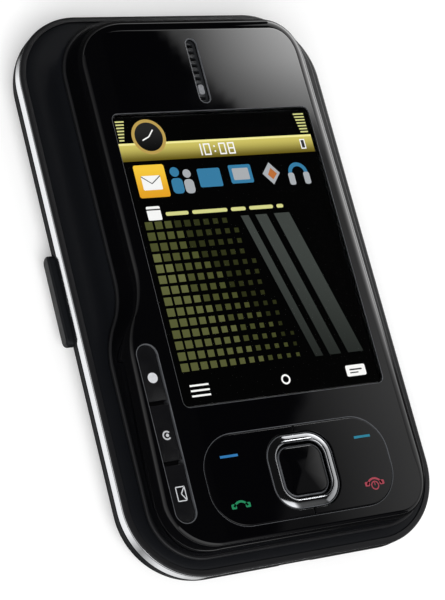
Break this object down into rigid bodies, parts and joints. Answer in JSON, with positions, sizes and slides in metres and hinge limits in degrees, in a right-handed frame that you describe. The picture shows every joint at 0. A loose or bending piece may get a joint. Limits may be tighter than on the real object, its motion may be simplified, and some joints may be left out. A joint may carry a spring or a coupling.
{
  "type": "slider phone",
  "caption": "Slider phone: a glossy display half with navigation keys slides sideways over a matte keyboard half with a chrome band and side keys.",
  "frame": {"origin": "Centre of the keyboard half's outline on the flat back face, which is the battery cover's outer face.", "axes": "+X points the way the display half slides open, to the right seen from the display; +Y points to the earpiece end; +Z points out of the display."},
  "size_m": [0.0592, 0.0967, 0.0158],
  "materials": {
    "soft_black": "bluish black soft-touch paint",
    "chrome": "polished plating",
    "cell_film": "plain grey film",
    "gold": "gold-plated contacts in their block",
    "steel": "pressed sheet, wire and screws",
    "dark_chrome": "smoked plating",
    "lens_glass": "tinted cover glass",
    "black_plastic": "moulded black",
    "board": "green solder mask",
    "side_key": "satin dark grey",
    "key_cap": "satin caps on rubber strips",
    "gloss_black": "high-gloss black",
    "window": "clear hard-coated window over the panel",
    "panel": "liquid crystal panel",
    "rubber": "moulded",
    "flex": "amber polyimide film"
  },
  "bodies": {
    "keyboard_half": {"rear_shell": "soft_black", "trim_band": "chrome", "keyboard_deck": "soft_black", "battery": "cell_film", "battery_contacts": "gold", "sim_holder": "steel", "camera_bezel": "dark_chrome", "camera_window": "lens_glass", "camera_module": "black_plastic", "loudspeaker": "black_plastic", "vibration_motor": "steel", "main_board": "board", "shield_can": "steel", "antenna": "black_plastic", "usb_socket": "steel", "audio_jack": "black_plastic", "volume_switches": "steel", "camera_switch": "steel", "power_switch": "steel", "shell_screw_1": "steel", "shell_screw_2": "steel", "shell_screw_3": "steel", "shell_screw_4": "steel", "switch_sheet": "steel", "slide_base_plate": "steel", "guide_shoe_top": "black_plastic", "guide_shoe_bottom": "black_plastic"},
    "battery_cover": {"battery_cover": "soft_black"},
    "volume_rocker": {"volume_rocker": "side_key"},
    "camera_key": {"camera_key": "side_key"},
    "power_key": {"power_key": "side_key"},
    "key_row_1": {"key_row_1": "key_cap"},
    "backspace_key": {"backspace_key": "key_cap"},
    "key_row_2": {"key_row_2": "key_cap"},
    "enter_key": {"enter_key": "key_cap"},
    "shift_key": {"shift_key": "key_cap"},
    "key_row_3": {"key_row_3": "key_cap"},
    "key_row_4_left": {"key_row_4_left": "key_cap"},
    "space_key": {"space_key": "key_cap"},
    "key_row_4_right": {"key_row_4_right": "key_cap"},
    "display_half": {"slide_carriage": "steel", "upper_frame": "black_plastic", "front_cover": "gloss_black", "display_window": "window", "display_panel": "panel", "display_bracket": "steel", "earpiece_grille": "dark_chrome", "earpiece": "black_plastic", "keypad_board": "board", "assist_spring_top": "steel", "assist_spring_bottom": "steel", "slide_flex": "flex"},
    "navigation_actuator": {"navigation_actuator": "rubber"},
    "navigation_ring": {"navigation_ring": "dark_chrome"},
    "select_key": {"select_key": "gloss_black"},
    "left_key_plate": {"left_key_plate": "gloss_black"},
    "right_key_plate": {"right_key_plate": "gloss_black"},
    "shortcut_key_1": {"shortcut_key_1": "gloss_black"},
    "shortcut_key_2": {"shortcut_key_2": "gloss_black"},
    "shortcut_key_3": {"shortcut_key_3": "gloss_black"}
  },
  "joints": [
    {"name": "display_slide", "type": "slide", "parent": "keyboard_half", "child": "display_half", "axis": [1, 0, 0], "range_m": [0, 0.029], "deforming": ["assist_spring_top", "assist_spring_bottom", "slide_flex"]},
    {"name": "battery_cover_lift", "type": "slide", "parent": "keyboard_half", "child": "battery_cover", "axis": [0, 0, -1], "range_m": [0, 0.012]},
    {"name": "volume_rock", "type": "hinge", "parent": "keyboard_half", "child": "volume_rocker", "pos_m": [-0.0268, -0.0001, 0.0042], "axis": [0, 0, 1], "range_deg": [-2, 2], "stiffness_Nm_per_rad": 0.05},
    {"name": "camera_key_press", "type": "slide", "parent": "keyboard_half", "child": "camera_key", "axis": [-1, 0, 0], "range_m": [0, 0.0004], "stiffness_N_per_m": 600},
    {"name": "power_key_press", "type": "slide", "parent": "keyboard_half", "child": "power_key", "axis": [0, -1, 0], "range_m": [0, 0.0004], "stiffness_N_per_m": 600},
    {"name": "key_row_1_press", "type": "slide", "parent": "keyboard_half", "child": "key_row_1", "axis": [0, 0, -1], "range_m": [0, 0.00025], "stiffness_N_per_m": 600},
    {"name": "backspace_press", "type": "slide", "parent": "keyboard_half", "child": "backspace_key", "axis": [0, 0, -1], "range_m": [0, 0.00025], "stiffness_N_per_m": 600},
    {"name": "key_row_2_press", "type": "slide", "parent": "keyboard_half", "child": "key_row_2", "axis": [0, 0, -1], "range_m": [0, 0.00025], "stiffness_N_per_m": 600},
    {"name": "enter_press", "type": "slide", "parent": "keyboard_half", "child": "enter_key", "axis": [0, 0, -1], "range_m": [0, 0.00025], "stiffness_N_per_m": 600},
    {"name": "shift_press", "type": "slide", "parent": "keyboard_half", "child": "shift_key", "axis": [0, 0, -1], "range_m": [0, 0.00025], "stiffness_N_per_m": 600},
    {"name": "key_row_3_press", "type": "slide", "parent": "keyboard_half", "child": "key_row_3", "axis": [0, 0, -1], "range_m": [0, 0.00025], "stiffness_N_per_m": 600},
    {"name": "key_row_4_left_press", "type": "slide", "parent": "keyboard_half", "child": "key_row_4_left", "axis": [0, 0, -1], "range_m": [0, 0.00025], "stiffness_N_per_m": 600},
    {"name": "space_press", "type": "slide", "parent": "keyboard_half", "child": "space_key", "axis": [0, 0, -1], "range_m": [0, 0.00025], "stiffness_N_per_m": 600},
    {"name": "key_row_4_right_press", "type": "slide", "parent": "keyboard_half", "child": "key_row_4_right", "axis": [0, 0, -1], "range_m": [0, 0.00025], "stiffness_N_per_m": 600},
    {"name": "navigation_tilt_x", "type": "hinge", "parent": "display_half", "child": "navigation_actuator", "pos_m": [0.0004, -0.0352, 0.0136], "axis": [1, 0, 0], "range_deg": [-1.5, 1.5], "stiffness_Nm_per_rad": 0.02},
    {"name": "navigation_tilt_y", "type": "hinge", "parent": "navigation_actuator", "child": "navigation_ring", "pos_m": [0.0004, -0.0352, 0.0141], "axis": [0, 1, 0], "range_deg": [-1.5, 1.5], "stiffness_Nm_per_rad": 0.02},
    {"name": "select_press", "type": "slide", "parent": "navigation_ring", "child": "select_key", "axis": [0, 0, -1], "range_m": [0, 0.00025], "stiffness_N_per_m": 600},
    {"name": "left_plate_rock", "type": "hinge", "parent": "display_half", "child": "left_key_plate", "pos_m": [-0.0115, -0.0352, 0.0142], "axis": [1, 0, 0], "range_deg": [-1.5, 1.5], "stiffness_Nm_per_rad": 0.05},
    {"name": "right_plate_rock", "type": "hinge", "parent": "display_half", "child": "right_key_plate", "pos_m": [0.0116, -0.0352, 0.0142], "axis": [1, 0, 0], "range_deg": [-1.5, 1.5], "stiffness_Nm_per_rad": 0.05},
    {"name": "shortcut_1_press", "type": "slide", "parent": "display_half", "child": "shortcut_key_1", "axis": [0, 0, -1], "range_m": [0, 0.00025], "stiffness_N_per_m": 600},
    {"name": "shortcut_2_press", "type": "slide", "parent": "display_half", "child": "shortcut_key_2", "axis": [0, 0, -1], "range_m": [0, 0.00025], "stiffness_N_per_m": 600},
    {"name": "shortcut_3_press", "type": "slide", "parent": "display_half", "child": "shortcut_key_3", "axis": [0, 0, -1], "range_m": [0, 0.00025], "stiffness_N_per_m": 600}
  ]
}
